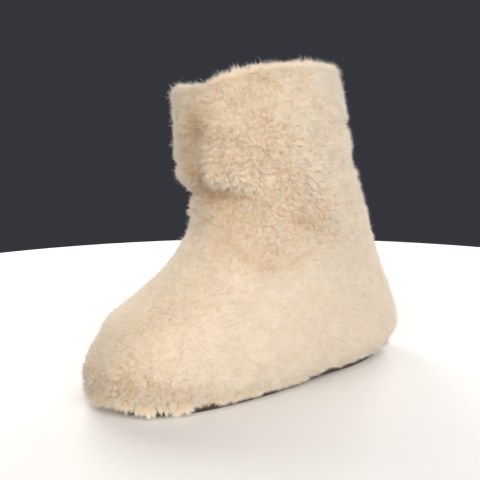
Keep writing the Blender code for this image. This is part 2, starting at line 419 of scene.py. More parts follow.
# Tan mixed into the wool as painted shade, where shade falls in the pile
PAINTED_SHADE_TAN = (0.71, 0.51, 0.31)
LINING_ROOT = (0.90, 0.81, 0.67)
FOOTBED_CREAM = (0.90, 0.82, 0.70)
FOOTBED_TAN = (0.80, 0.67, 0.50)
SUEDE = (0.075, 0.058, 0.045)
SUEDE_DARK = (0.036, 0.028, 0.021)
SUEDE_WORN = (0.16, 0.13, 0.10)

# Places to bake to: inside each strand's cell, and inside a grid's square
BAKE_LEVELS = (0.08, 0.92)
BAKE_ASIDE = 0.42
BAKE_SPAN = (0.01, 0.99)

# Floor, lamps and sky, in metres and watts
FLOOR_COLOUR = (0.82, 0.815, 0.81)
FLOOR_ROUGHNESS = 0.55
FLOOR_RADIUS = 0.6
FLOOR_SIDES = 96
Lamp = namedtuple("Lamp", "place size power colour")
LAMPS = {
    "key": Lamp((0.95, -0.35, 0.95), 1.3, 11.1, (1.0, 0.97, 0.94)),
    "low_side": Lamp((1.2, 0.15, 0.45), 1.0, 6.3, (1.0, 0.97, 0.94)),
    "front": Lamp((0.3, -1.1, 0.5), 0.9, 6.5, (1.0, 0.94, 0.87)),
    "back": Lamp((-0.3, 1.1, 0.55), 0.9, 9, (1.0, 0.98, 0.96)),
    "far_side": Lamp((-1.0, 0.25, 0.6), 0.9, 10.5, (1.0, 0.96, 0.92)),
}
LAMP_AIM = (0, 0, 0.1)
SKY = (0.036, 0.037, 0.045)

# Camera at the photograph's viewing angle, with a longer lens that frames the one slipper
CAMERA_PLACE = (0.484, -0.434, 0.210)
CAMERA_AIM = (-0.007, -0.008, 0.100)
CAMERA_ROLL = -0.5
CAMERA_LENS = 67.5
CAMERA_SENSOR = 36
CAMERA_NEAR = 0.01


def smooth_through(knots, values, at):
    """Values at the given places on a smooth curve through the knots that doesn't swing past them."""
    step = np.diff(knots)
    slope = np.diff(values, axis=0) / step[:, None]
    tangent = np.zeros_like(values)
    tangent[0] = slope[0]
    tangent[-1] = slope[-1]
    rising = slope[:-1] * slope[1:] > 0
    both = np.where(rising, slope[:-1] + slope[1:], 1.0)
    tangent[1:-1] = np.where(rising, 2 * slope[:-1] * slope[1:] / both, 0.0)
    index = np.clip(np.searchsorted(knots, at, side="right") - 1, 0, len(step) - 1)
    width = step[index][:, None]
    part = (at - knots[index])[:, None] / width
    return (
        values[index] * (1 + 2 * part) * (1 - part) ** 2
        + tangent[index] * width * part * (1 - part) ** 2
        + values[index + 1] * part**2 * (3 - 2 * part)
        + tangent[index + 1] * width * part**2 * (part - 1)
    )


def smooth_step(value, low, high):
    part = np.clip((value - low) / (high - low), 0, 1)
    return part * part * (3 - 2 * part)


def plus_share(graded, share):
    return graded.base + graded.gain * share


def unit(vectors):
    return vectors / np.maximum(np.linalg.norm(vectors, axis=-1, keepdims=True), 1e-9)


def sole_lift(along, across):
    """Height of the outsole's underside: flat under heel and forefoot, raised at arch, toe and heel's end."""
    arch = np.clip((along - ARCH_START) / (ARCH_END - ARCH_START), 0, 1)
    inner_share = np.clip(0.5 - across / SECTIONS["hem"].outer / 2, 0, 1)
    arch_rise = ARCH_RISE_OUTER + (ARCH_RISE_INNER - ARCH_RISE_OUTER) * inner_share
    toe_length = SECTIONS["hem"].front - TOE_SPRING_START
    toe = np.clip((along - TOE_SPRING_START) / toe_length, 0, 1)
    heel = np.clip((HEEL_RISE_END - along) / HEEL_RISE_END, 0, 1)
    return arch_rise * np.sin(math.pi * arch) ** 2 + TOE_SPRING * toe**2 + HEEL_RISE * heel**2


def follow_last(along, across, height):
    """Across position with the left curve of the last: narrower waist near the sole, toe swung inwards."""
    waist = np.exp(-(((along - WAIST_AT) / WAIST_REACH) ** 2)) * (1 - smooth_step(height, 0, WAIST_TOP))
    narrow = np.where(across > 0, WAIST_OUTER, WAIST_INNER)
    forward = np.clip((along - TOE_SWING_START) / (SECTIONS["welt"].front - TOE_SWING_START), 0, 1)
    return across * (1 - narrow * waist) - TOE_SWING * forward**2


def ring(angle, front, back, middle, outer, inner, round_front, round_back):
    """An outline at angles round from the toe: places along and across, and shares of the half width."""
    ahead = np.cos(angle)
    aside = np.sin(angle)
    power = 2 / np.where(ahead >= 0, round_front, round_back)
    reach = np.where(ahead >= 0, front - middle, middle - back)
    share = np.sign(aside) * np.abs(aside) ** power
    along = middle + reach * np.sign(ahead) * np.abs(ahead) ** power
    return along, np.where(aside >= 0, outer, inner) * share, share


def outside(angle, place):
    """Points of the smooth outside at angles round from the toe and places from 0, hem, to 1, collar."""
    rows = np.array(list(SECTIONS.values()), float)
    columns = smooth_through(np.linspace(0, 1, len(rows)), rows, place).T[:, :, None]
    front, front_z, back, back_z, outer, inner, widest, lean, round_front, round_back = columns
    middle = back + widest * (front - back)
    along, across, share = ring(angle[None, :], front, back, middle, outer, inner, round_front, round_back)
    height = back_z + (front_z - back_z) * (along - back) / (front - back)
    # A section that leans inwards tips with it: its outer edge stands higher than its inner one.
    height = height + lean * share
    low = 1 - smooth_step(height, SECTIONS["hem"].front_z, SECTIONS["toe"].front_z)
    height = height + low * sole_lift(along, across)
    across = follow_last(along, across, height) - lean
    return np.stack([across - MIDDLE_ACROSS, MIDDLE_ALONG - along, height], axis=-1)


def ways_of(points):
    """Unit directions of a grid of points: round each ring, up the rows, and out of the surface."""
    round_way = unit(np.roll(points, -1, axis=1) - np.roll(points, 1, axis=1))
    up_way = unit(np.gradient(points, axis=0))
    return round_way, up_way, unit(np.cross(round_way, up_way))


def trough(folds, angle, height):
    """Depth of a table's troughs at angles in degrees and heights of the same shape."""
    depth = np.zeros(height.shape)
    for fold in folds.values():
        turn = np.broadcast_to((angle - fold.angle + 180) % 360 - 180, height.shape)
        run = np.array([(fold.to_angle - fold.angle) * FOLD_MM_PER_DEGREE, fold.to_height - fold.height])
        offset = np.stack([turn * FOLD_MM_PER_DEGREE, height - fold.height], axis=-1)
        share = np.clip(offset @ run / (run @ run), 0, 1)
        distance = np.linalg.norm(offset - share[..., None] * run, axis=-1)
        ends = smooth_step(np.minimum(share, 1 - share), -FOLD_FADE / 4, FOLD_FADE)
        depth += fold.depth * ends * np.exp(-((distance / fold.half_width) ** 2))
    return depth


def patches(table, angle, height):
    """Summed amount of a table's patches, from 0 to 1."""
    amount = np.zeros(np.broadcast(angle, height).shape)
    for patch in table.values():
        turn = (angle - patch.angle + 180) % 360 - 180
        away = (turn / patch.angle_reach) ** 2 + ((height - patch.height) / patch.height_reach) ** 2
        amount += patch.amount * np.exp(-(away**2))
    return np.clip(amount, 0, 1)


def waver(angle, height, phase):
    """A slow wave over the surface, from -1 to 1, that has no seam at the toe."""
    turn = np.radians(angle)
    waves = [np.sin(wave.times * turn + wave.climb * height + wave.shift * phase) for wave in WAVES]
    return sum(waves) / len(waves)


def rim_shift(angle):
    """How far the collar's soft rim stands above or below an even one, by degrees round from the toe."""
    turn = (angle + 180) % 360 - 180
    front = np.exp(-(((turn - RIM_FRONT_AT) / RIM_FRONT_REACH) ** 2))
    sides = np.exp(-(((np.abs(turn) - RIM_SIDES_AT) / RIM_SIDES_REACH) ** 2))
    back = smooth_step(np.abs(turn), *RIM_BACK_BAND)
    return RIM_SIDES * sides - RIM_FRONT * front - RIM_BACK * back


def toe_flare(points):
    """How far the wool at the toe's hem stands out, over the edge of the sole."""
    toe = smooth_step(-points[..., 1], *TOE_FLARE_BAND)
    return TOE_FLARE * toe * (1 - smooth_step(points[..., 2], *FLARE_HEIGHTS))


def lumps(points, noise):
    """Smooth noise between -1 and 1, with lumps of the noise's size."""
    lattice = np.random.default_rng(noise.seed).uniform(-1, 1, (LATTICE, LATTICE, LATTICE))
    low = np.floor(points / noise.size).astype(int)
    part = points / noise.size - low
    part = part * part * (3 - 2 * part)
    total = 0
    for corner in itertools.product((0, 1), repeat=3):
        x, y, z = np.moveaxis((low + corner) % LATTICE, -1, 0)
        share = np.where(np.array(corner) == 1, part, 1 - part).prod(axis=-1)
        total = total + lattice[x, y, z] * share
    return total


def partings(points):
    """Thin, broken partings between small tufts, longer round the shaft than up it: 1 on one, 0 off it."""
    bends = np.stack([lumps(points, noise) for noise in PARTING_BENDS], axis=-1)
    bent = points * TUFT_STRETCH + PARTING_BEND * bends
    field = lumps(bent, PARTING_LINES) + PARTING_TWIG * lumps(bent, PARTING_TWIGS)
    line = np.clip(1 - np.abs(field) / PARTING_WIDTH, 0, 1)
    return line * smooth_step(lumps(points, PARTING_BREAKS), *PARTING_BREAK_BAND)


Sheet = namedtuple("Sheet", "point normal shade round_way up_way depth sunk crease")


def make_sheet():
    """The wool's surface as one grid: up the outside, over the lip, down the lining to the footbed's edge."""
    angle = np.linspace(0, 2 * math.pi, GRID_ROUND, endpoint=False)
    turn = np.degrees(angle)[None, :]

    smooth = outside(angle, np.linspace(0, 1, ROWS_OUTSIDE))
    normal = ways_of(smooth)[2]
    shaft = smooth_step(smooth[..., 2], *SHAFT_BAND)
    fine = trough(CREASES, turn, smooth[..., 2])
    fine = fine + plus_share(LARGE_LUMPS, shaft) * lumps(smooth, SURFACE_LARGE)
    fine = fine + plus_share(SMALL_LUMPS, shaft) * lumps(smooth, SURFACE_SMALL)
    clumped = patches(CLUMPED, turn, smooth[..., 2])
    fine = fine + CLUMPS_DEPTH * clumped * lumps(smooth, SURFACE_CLUMPS)
    fine = np.minimum(fine, FINE_MOST)
    pressed = trough(FOLDS, turn, smooth[..., 2]) + fine - toe_flare(smooth)
    outer = smooth - normal * pressed[..., None]
    sunk = np.zeros((ROWS_UNDER_LIP + ROWS_INSIDE + ROWS_FOOT, GRID_ROUND, 1))
    sunk[:ROWS_OUTSIDE, :, 0] = pressed

    inner_place = np.linspace(1, INSIDE_LOW, ROWS_INSIDE)
    inner_smooth = outside(angle, inner_place[::-1])[::-1]
    inner_normal = -ways_of(inner_smooth)[2]
    wall = WALL_FOOT + (WALL_COLLAR - WALL_FOOT) * inner_place
    pressed = wall[:, None] + trough(FOLDS, turn, inner_smooth[..., 2])
    inner = inner_smooth - inner_normal * pressed[..., None]
    foot = footbed_point(angle, FOOT_REACH, FOOT_RISE)
    slope = np.linspace(0, 1, ROWS_FOOT + 1)[1:, None, None]
    inner = np.concatenate([inner, inner[-1] + (foot - inner[-1]) * slope])

    top = unit(smooth[-1] - smooth[-2])
    middle = (outer[-1] + inner[0]) / 2
    lip = [
        middle + (outer[-1] - middle) * math.cos(turned) + top * LIP_RISE * math.sin(turned)
        for turned in np.linspace(0, math.pi, ROWS_LIP + 2)[1:-1]
    ]

    point = np.concatenate([outer, lip, inner])
    point[..., 2] += rim_shift(turn) * smooth_step(point[..., 2], *RIM_BAND)
    round_way, up_way, out_way = ways_of(point)
    row = np.arange(len(point))[:, None]
    curly = patches(CURLY, turn, point[..., 2])
    depth = HIDE_DEPTH + (HIDE_DEPTH_CURLY - HIDE_DEPTH) * curly
    raised = depth[:ROWS_OUTSIDE] - HIDE_RISE_IN_CREASE * np.maximum(fine, 0)
    depth[:ROWS_OUTSIDE] = np.maximum(raised, HIDE_DEPTH_LEAST)
    at_lip = below_rim(row, LIP_BLEND)
    shade = out_way.copy()
    shade[:ROWS_OUTSIDE] += SHADE_SMOOTH * normal
    shade[:ROWS_OUTSIDE, :, 2] = np.maximum(shade[:ROWS_OUTSIDE, :, 2], 0)
    shade[ROWS_OUTSIDE - LIP_BLEND : ROWS_UNDER_LIP, :, 2] *= SHADE_LIP_UP
    depth = depth + (HIDE_DEPTH_LIP - depth) * at_lip
    depth = np.where(row > ROWS_UNDER_LIP, HIDE_DEPTH_LINING, depth)[..., None]
    crease = trough(CREASES, turn, point[..., 2])[..., None]
    return Sheet(point, out_way, unit(shade), round_way, up_way, depth, sunk, crease)


def look_up(grid, row, turn):
    """Values of a grid at fractional rows and fractional steps round."""
    low = np.clip(np.floor(row).astype(int), 0, grid.shape[0] - 2)
    part = np.clip(row - low, 0, 1)[:, None]
    left = np.floor(turn).astype(int)
    share = (turn - left)[:, None]
    left = left % GRID_ROUND
    right = (left + 1) % GRID_ROUND
    lower = grid[low, left] * (1 - share) + grid[low, right] * share
    upper = grid[low + 1, left] * (1 - share) + grid[low + 1, right] * share
    return lower * (1 - part) + upper * part


def footing(sheet, row, turn):
    """Points of the surface, and its directions outwards, at rows and turns."""
    return look_up(sheet.point, row, turn), unit(look_up(sheet.normal, row, turn))


def below_rim(row, rows):
    """How near the outside's rim a row is: 0 from so many rows below it, 1 at it."""
    return smooth_step(row, ROWS_OUTSIDE - rows, ROWS_OUTSIDE)


def spread(sheet, first, last, count, rng, weight=None):
    """Random rows and turns between two rows, even by area or by area times the weight of each row."""
    point = sheet.point[first : last + 1]
    across = np.roll(point, -1, axis=1)[:-1] - point[:-1]
    area = np.linalg.norm(np.cross(across, point[1:] - point[:-1]), axis=-1)
    if weight is not None:
        area = area * weight[first:last, None]
    cells = rng.choice(area.size, count, p=(area / area.sum()).ravel())
    row, turn = np.divmod(cells, GRID_ROUND)
    return first + row + rng.random(count), turn + rng.random(count)


def keep_apart(points, spacing):
    """Indices of the points, taken in order, that lie at least their spacing from those before them."""
    cell = float(spacing.max())
    near = list(itertools.product((-1, 0, 1), repeat=3))
    taken = {}
    kept = []
    for index, (point, gap) in enumerate(zip(points.tolist(), spacing.tolist())):
        home = tuple(int(value // cell) for value in point)
        cells = [(home[0] + x, home[1] + y, home[2] + z) for x, y, z in near]
        others = (other for key in cells for other in taken.get(key, ()))
        if all(math.dist(other, point) >= gap for other in others):
            taken.setdefault(home, []).append(point)
            kept.append(index)
    return np.array(kept)


def brushed(sheet, row, turn):
    """Direction that the wool is brushed in, and its lean as a share of the pile's height."""
    angle = turn * DEGREES_PER_STEP
    place = look_up(sheet.point, row, turn)
    height = place[:, 2]
    side = np.sin(np.radians(angle))
    front_turn = (angle + 180) % 360 - 180
    front = np.exp(-((front_turn / BRUSH_FRONT_REACH) ** 2)) * smooth_step(height, *FRONT_BAND)
    foot = 1 - smooth_step(height, *FOOT_BAND)
    collar = below_rim(row, BRUSH_COLLAR_ROWS)
    hem = 1 - smooth_step(height, *HEM_BAND)
    toe = smooth_step(-place[:, 1], *TOE_BRUSH_BAND)
    swirl = BRUSH_SWIRL * waver(angle, height, SWIRL_PHASE) + BRUSH_SIDE * side
    lift = BRUSH_LIFT * waver(angle, height, LIFT_PHASE) - BRUSH_DROOP
    round_part = foot * side + (1 - foot) * swirl
    round_part = round_part + BRUSH_FRONT * front * np.tanh(front_turn / BRUSH_FRONT_TURN)
    up_part = -BRUSH_FOOT_DOWN * foot + (1 - foot) * lift + BRUSH_COLLAR_UP * collar
    up_part = up_part - plus_share(BRUSH_HEM_DOWN, toe) * hem
    way = (
        look_up(sheet.round_way, row, turn) * round_part[:, None]
        + look_up(sheet.up_way, row, turn) * up_part[:, None]
    )
    lean = LEAN_FOOT * foot + LEAN_SHAFT * (1 - foot) - LEAN_COLLAR * collar
    lean = lean * (1 - LEAN_CLUMPED * patches(CLUMPED, angle, height))
    return unit(way), lean


def mesh_piece(name, points, triangles, normals, tints, bake, material):
    """A joined mesh from arrays, in millimetres, with its normals, vertex tints and places to bake to."""
    mesh = bpy.data.meshes.new(name)
    mesh.vertices.add(len(points))
    mesh.vertices.foreach_set("co", (points * MM).astype(np.float32).ravel())
    mesh.loops.add(triangles.size)
    mesh.loops.foreach_set("vertex_index", triangles.astype(np.int32).ravel())
    mesh.polygons.add(len(triangles))
    mesh.polygons.foreach_set("loop_start", np.arange(0, triangles.size, 3, dtype=np.int32))
    mesh.update()
    mesh.shade_smooth()
    colours = np.concatenate([np.clip(tints, 0, 1), np.ones((len(tints), 1))], axis=1)
    layer = mesh.color_attributes.new("tint", "FLOAT_COLOR", "POINT")
    layer.data.foreach_set("color", colours.astype(np.float32).ravel())
    places = mesh.uv_layers.new(name="OFBake")
    places.data.foreach_set("uv", bake[triangles.ravel()].astype(np.float32).ravel())
    if normals is not None:
        bent = mesh.attributes.new("custom_normal", "FLOAT_VECTOR", "POINT")
        bent.data.foreach_set("vector", unit(normals).astype(np.float32).ravel())
    mesh.update()
    mesh.materials.append(material)
    piece = bpy.data.objects.new(name, mesh)
    bpy.context.scene.collection.objects.link(piece)
    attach(piece, "root")
    return piece


def ribbons(name, knots, widths, facing, normals, tints, material):
    """Flat strands that taper to a point, as one piece: knots and tints are arrays of strand by knot."""
    count, steps = knots.shape[:2]
    run = unit(np.gradient(knots, axis=1))
    side = unit(np.cross(run, facing[:, None]))
    half = widths[:, None, None] / 2
    left = knots[:, :-1] - side[:, :-1] * half
    right = knots[:, :-1] + side[:, :-1] * half
    pairs = np.stack([left, right], axis=2).reshape(count, 2 * (steps - 1), 3)
    points = np.concatenate([pairs, knots[:, -1:]], axis=1)
    per_strand = 2 * steps - 1

    faces = []
    for low in range(0, 2 * (steps - 2), 2):
        faces += [(low, low + 1, low + 3), (low, low + 3, low + 2)]
    faces.append((per_strand - 3, per_strand - 2, per_strand - 1))
    triangles = np.array(faces)[None] + np.arange(count)[:, None, None] * per_strand

    def doubled(values):
        return np.concatenate([np.repeat(values[:, :-1], 2, axis=1), values[:, -1:]], axis=1)

    columns = math.ceil(math.sqrt(count))
    cell = np.stack(np.divmod(np.arange(count), columns)[::-1], axis=-1)[:, None, :]
    level = doubled(np.linspace(*BAKE_LEVELS, steps)[None])
    aside = np.concatenate([np.tile([-BAKE_ASIDE, BAKE_ASIDE], steps - 1), [0.0]])[None]
    bake = (cell + np.stack([0.5 + aside, level], axis=-1)) / columns

    return mesh_piece(
        name,
        points.reshape(-1, 3),
        triangles.reshape(-1, 3),
        np.repeat(normals, per_strand, axis=0),
        doubled(tints).reshape(-1, 3),
        bake.reshape(-1, 2),
        material,
    )


def faces_out(normal, run, spread_angle, rng):
    """Directions square to the strands that look out of the wool, each turned a little about its strand."""
    run = unit(run)
    facing = unit(normal - run * (normal * run).sum(axis=1, keepdims=True))
    angle = rng.normal(0, spread_angle, len(run))[:, None]
    return facing * np.cos(angle) + np.cross(run, facing) * np.sin(angle)


def mixed(colour, other, share):
    """Colours between two, by a share for each strand."""
    return np.array(colour) * (1 - share[:, None]) + np.array(other) * share[:, None]


def root_to_tip(root, tip, tone):
    """Tints of strands from the root's colour to the tip's, each with a tone of its own."""
    return np.stack([np.array(root) * tone, np.array(tip) * tone], axis=1)


def hem_height(point):
    """Height of the hem's edge below or beside each point."""
    along = MIDDLE_ALONG - point[:, 1]
    across = point[:, 0] + MIDDLE_ACROSS
    drop = HEM_DROP * smooth_step(along, HEM_DROP_START, HEM_DROP_FULL)
    return sole_lift(along, across) + SOLE_THICK + GAP - drop


def hang_over_hem(tip, ground, normal, rng):
    """Keeps tips above the floor, and ragged a little below the hem's edge."""
    toe = smooth_step(-ground[:, 1], *TOE_HANG_BAND)
    edge = hem_height(ground) - HEM_HANG - TOE_HANG * toe + rng.normal(0, HEM_RAGGED, len(tip))
    edge = edge + plus_share(HEM_WAVE_DEPTH, toe) * lumps(ground, HEM_WAVE)
    edge = edge + HEM_RIPPLE_DEPTH * lumps(ground, HEM_RIPPLE)
    under = np.maximum(edge - tip[:, 2], 0)
    tip[:, 2] = np.maximum(tip[:, 2] + under, FLOOR_CLEAR)
    tip[:, :2] += normal[:, :2] * (under * HEM_PUSH_OUT)[:, None]
    return tip


def place_locks(sheet, rng):
    """Middles of the locks on the outside and the lip, kept apart, with their curl and spacing."""
    row, turn = spread(sheet, 0, ROWS_UNDER_LIP - 2, LOCK_TRIES, rng)
    point = look_up(sheet.point, row, turn)
    curly = patches(CURLY, turn * DEGREES_PER_STEP, point[:, 2])
    spacing = LOCK_SPACING + (LOCK_SPACING_CURLY - LOCK_SPACING) * curly
    kept = keep_apart(point, spacing * LOCK_CLOSEST)
    return row[kept], turn[kept], point[kept], curly[kept], spacing[kept]


def pile_tints(sheet, row, turn, parted, tuft, lock_tone, rng):
    """Root and tip colours of the strands, with shade painted in tan where the wool is parted, pressed in or
    creased, at low tufts and at the rim.
    """
    angle = turn * DEGREES_PER_STEP
    height = look_up(sheet.point, row, turn)[:, 2]
    sunk = look_up(sheet.sunk, row, turn)[:, 0]
    crease = look_up(sheet.crease, row, turn)[:, 0]
    # Painted shade: tan is mixed in at the listed patches, sunk places, partings, creases and low tufts, and
    # at the rim against the light on its top
    painted_shade = patches(PAINTED_SHADE_PATCHES, angle, height) + PAINTED_SHADE_SUNK * np.maximum(sunk, 0) + PAINTED_SHADE_PARTED * parted
    painted_shade = painted_shade + PAINTED_SHADE_CREASE * crease - PAINTED_SHADE_LOW_TUFT * tuft + PAINTED_SHADE_RIM * below_rim(row, PAINTED_SHADE_RIM_ROWS)
    painted_shade = painted_shade + rng.normal(0, PAINTED_SHADE_SPREAD, len(row))
    painted_shade = np.clip(painted_shade, 0, 1)
    tone = (1 + lock_tone + rng.normal(0, STRAND_TONE, len(row)))[:, None]
    return root_to_tip(mixed(SHADED_ROOT, PAINTED_SHADE_TAN, painted_shade), mixed(CREAM, PAINTED_SHADE_TAN, painted_shade), tone)


def make_pile(sheet, material, rng):
    """The outside's wool: locks kept apart on the surface, each a tuft of strands that lean together."""
    row, turn, point, curly, spacing = place_locks(sheet, rng)
    locks = len(row)
    lock_way, lean = brushed(sheet, row, turn)
    lock_normal = look_up(sheet.normal, row, turn)
    twist = rng.uniform(0, 2 * math.pi, locks)[:, None]
    lock_curl = lock_way * np.cos(twist) + np.cross(lock_normal, lock_way) * np.sin(twist)
    collar = below_rim(row, COLLAR_ROWS)
    shaft = smooth_step(point[:, 2], *SHAFT_BAND)
    lock_rise = np.minimum(rng.gamma(*LOCK_RISES, locks), LOCK_RISE_MOST) - LOCK_RISE_MIDDLE
    lock_rise = lock_rise * (
        LOCK_RISE_FOOT + LOCK_RISE_SHAFT * shaft + LOCK_RISE_COLLAR * collar + LOCK_RISE_CURLY * curly
    )
    lock_tone = rng.normal(0, LOCK_TONE, locks)

    lock = np.repeat(np.arange(locks), rng.multinomial(STRANDS, spacing**2 / (spacing**2).sum()))
    count = len(lock)
    curl = curly[lock]
    radius = np.sqrt(rng.random(count))
    around = rng.uniform(0, 2 * math.pi, count)
    reach = LOCK_REACH * spacing[lock] * radius
    one_round = look_up(sheet.point, row, turn + 1) - look_up(sheet.point, row, turn)
    one_up = look_up(sheet.point, row + 0.5, turn) - look_up(sheet.point, row - 0.5, turn)
    mm_round = np.maximum(np.linalg.norm(one_round, axis=1), LEAST_STEP)[lock]
    mm_up = np.maximum(np.linalg.norm(one_up, axis=1), LEAST_STEP)[lock]
    root_turn = turn[lock] + reach * np.cos(around) / mm_round
    root_row = np.clip(row[lock] + reach * np.sin(around) / mm_up, 0, ROWS_UNDER_LIP - 2)

    ground, normal = footing(sheet, root_row, root_turn)
    depth = look_up(sheet.depth, root_row, root_turn)[:, 0]
    root = ground - normal * depth[:, None]
    away = ground - point[lock]

    dome = -plus_share(DOME, curl) * radius**2
    wave = COLLAR_WAVE_RISE * lumps(ground, COLLAR_WAVE) + COLLAR_RIPPLE_RISE * lumps(ground, COLLAR_RIPPLE)
    ragged = rng.gamma(RAGGED_SHAPE, plus_share(RAGGED, curl) + RAGGED_COLLAR * collar[lock])
    rise = lock_rise[lock] + dome + rng.normal(0, STRAND_RISE, count) + ragged + wave * collar[lock]
    tall = np.maximum(depth + rise, STRAND_LEAST)
    astray = np.cross(normal, unit(rng.normal(0, 1, (count, 3))))
    way = (
        lock_way[lock] * plus_share(STRAND_BRUSHED, curl)[:, None]
        + lock_curl[lock] * (STRAND_CURL * curl)[:, None]
        + astray * STRAND_ASTRAY
    )
    leaning = lean[lock] * plus_share(STRAND_LEAN_BY_CURL, curl) * rng.uniform(*STRAND_LEANS, count)
    clump = plus_share(CLUMP, curl)[:, None]
    tip = root + normal * tall[:, None] + unit(way) * (tall * leaning)[:, None] - away * clump
    tip = tip + rng.normal(0, STRAND_SCATTER, (count, 3))
    tuft = lumps(tip * TUFT_STRETCH, TUFTS)
    tip = tip + normal * (plus_share(TUFT_RISE, shaft[lock]) * tuft)[:, None]
    upper = smooth_step(ground[:, 2], *UPPER_SHAFT_BAND)
    parted = partings(tip) * plus_share(PARTING_BY_CURL, curl) * plus_share(PARTING_BY_HEIGHT, upper)
    above_hide = ((tip - root) * normal).sum(axis=1)
    tip = tip - normal * np.minimum(PARTING_DEPTH * parted, above_hide - PARTING_LEAVES).clip(0)[:, None]
    toe = smooth_step(-ground[:, 1], *TOE_HANG_BAND)
    tip[:, 2] -= TOE_HANG * toe * (1 - smooth_step(ground[:, 2], *HANG_HEIGHTS))
    tip = hang_over_hem(tip, ground, normal, rng)

    knots = np.stack([root, tip], axis=1)
    facing = faces_out(normal, tip - root, STRAND_TWIST, rng)
    shade = look_up(sheet.shade, root_row, root_turn)
    rounded = unit(shade + away / spacing[lock][:, None] * plus_share(ROUNDED, curl)[:, None])
    normals = unit(rounded + facing * FACING_SHARE)
    widths = STRAND_WIDTH * rng.uniform(*STRAND_WIDTHS, count)
    tints = pile_tints(sheet, root_row, root_turn, parted, tuft, lock_tone[lock], rng)

    # Light goes through real wool, so only a share of the strands cast a shadow.
    order = np.argsort(ground[:, 2], kind="stable")
    casts = rng.random(count) < SHADOW_SHARE
    for name, band in zip(PILE_BANDS, np.array_split(order, len(PILE_BANDS))):
        for layer, part in (("under", band[casts[band]]), ("over", band[~casts[band]])):
            strands = [values[part] for values in (knots, widths, facing, normals, tints)]
            piece = ribbons(f"wool_{layer}_{name}", *strands, material)
            piece.visible_shadow = layer == "under"


def make_fuzz(sheet, material, rng):
    """Thin single hairs that stand out of the pile all over and soften its outline."""
    row, turn = spread(sheet, 0, ROWS_UNDER_LIP, FUZZ, rng)
    ground, normal = footing(sheet, row, turn)
    way = unit(np.cross(normal, rng.normal(0, 1, (FUZZ, 3))))
    root = ground - normal * FUZZ_ROOT
    tuft = np.clip(lumps(ground, FUZZ_TUFTS), FUZZ_TUFT_LEAST, 1)
    stand = np.minimum(rng.gamma(*FUZZ_STANDS, FUZZ) * plus_share(FUZZ_BY_TUFT, tuft), FUZZ_STAND_MOST)
    tip = root + normal * (FUZZ_ROOT + stand)[:, None] + way * rng.uniform(0, FUZZ_LEAN_MOST, FUZZ)[:, None]
    tip = hang_over_hem(tip, ground, normal, rng)
    tone = rng.normal(1, FUZZ_TONE, (FUZZ, 1))
    piece = ribbons(
        "wool_fuzz",
        np.stack([root, tip], axis=1),
        FUZZ_WIDTH * rng.uniform(*HAIR_WIDTHS, FUZZ),
        faces_out(normal, tip - root, HAIR_TWIST, rng),
        normal,
        root_to_tip(CREAM, CREAM, tone),
        material,
    )
    piece.visible_shadow = False


def make_fringe(sheet, material, rng):
    """Loose wool along the hem, which hangs out and down in small soft tufts."""
    row, turn = spread(sheet, 0, FRINGE_ROWS, FRINGE_TRIES, rng)
    tuft = lumps(look_up(sheet.point, row, turn), FRINGE_TUFTS)
    kept = tuft > rng.uniform(*FRINGE_KEEP, FRINGE_TRIES)
    row, turn, tuft = row[kept], turn[kept], tuft[kept]
    count = len(row)
    ground, normal = footing(sheet, row, turn)
    root = ground - normal * FRINGE_ROOT
    down = -look_up(sheet.up_way, row, turn)
    length = rng.uniform(*FRINGE_LENGTHS, count) * plus_share(FRINGE_BY_TUFT, tuft)
    way = normal * rng.uniform(*FRINGE_OUT, (count, 1)) + down * rng.uniform(*FRINGE_DOWN, (count, 1))
    way = unit(way + rng.normal(0, FRINGE_SCATTER, (count, 3)))
    tip = hang_over_hem(root + way * (FRINGE_ROOT + length)[:, None], ground, normal, rng)
    # Painted shade: the fringe is darkened on average, with tones that differ at random
    tone = rng.normal(*FRINGE_SHADED_TONES, (count, 1))
    facing = faces_out(normal, tip - root, HAIR_TWIST, rng)
    piece = ribbons(
        "wool_fringe",
        np.stack([root, tip], axis=1),
        FRINGE_WIDTH * rng.uniform(*HAIR_WIDTHS, count),
        facing,
        unit(look_up(sheet.shade, row, turn) + FRINGE_FACING * facing),
        root_to_tip(SHADED_ROOT, CREAM, tone),
        material,
    )
    piece.visible_shadow = False


def make_strays(sheet, material, rng):
    """Long loose hairs, most of them at the collar."""
    rows = np.arange(len(sheet.point))
    collar = smooth_step(rows, ROWS_OUTSIDE - COLLAR_ROWS, ROWS_OUTSIDE + STRAY_COLLAR_PAST)
    weight = plus_share(STRAY_WEIGHT, collar)
    row, turn = spread(sheet, 0, ROWS_UNDER_LIP, STRAYS, rng, weight)
    ground, normal = footing(sheet, row, turn)
    way = unit(np.cross(normal, rng.normal(0, 1, (STRAYS, 3))))
    bend = unit(np.cross(normal, way) + rng.normal(0, STRAY_SCATTER, (STRAYS, 3)))
    length = rng.uniform(*STRAY_LENGTHS, STRAYS)[:, None]
    stand = rng.uniform(*STRAY_STANDS, STRAYS)[:, None]
    knots = []
    for part in STRAY_KNOTS:
        curve = math.sin(math.pi * part) * STRAY_BEND
        out = normal * stand * part * plus_share(STRAY_OUT, part)
        knots.append(ground - normal * STRAY_ROOT + length * (out + way * part * STRAY_ALONG + bend * curve))
    knots = np.stack(knots, axis=1)
    knots[..., 2] = np.maximum(knots[..., 2], FLOOR_CLEAR)
    tints = np.broadcast_to(np.array(CREAM), (STRAYS, knots.shape[1], 3))
    facing = faces_out(normal, knots[:, -1] - knots[:, 0], HAIR_TWIST, rng)
    piece = ribbons("wool_strays", knots, np.full(STRAYS, STRAY_WIDTH), facing, normal, tints, material)
    piece.visible_shadow = False


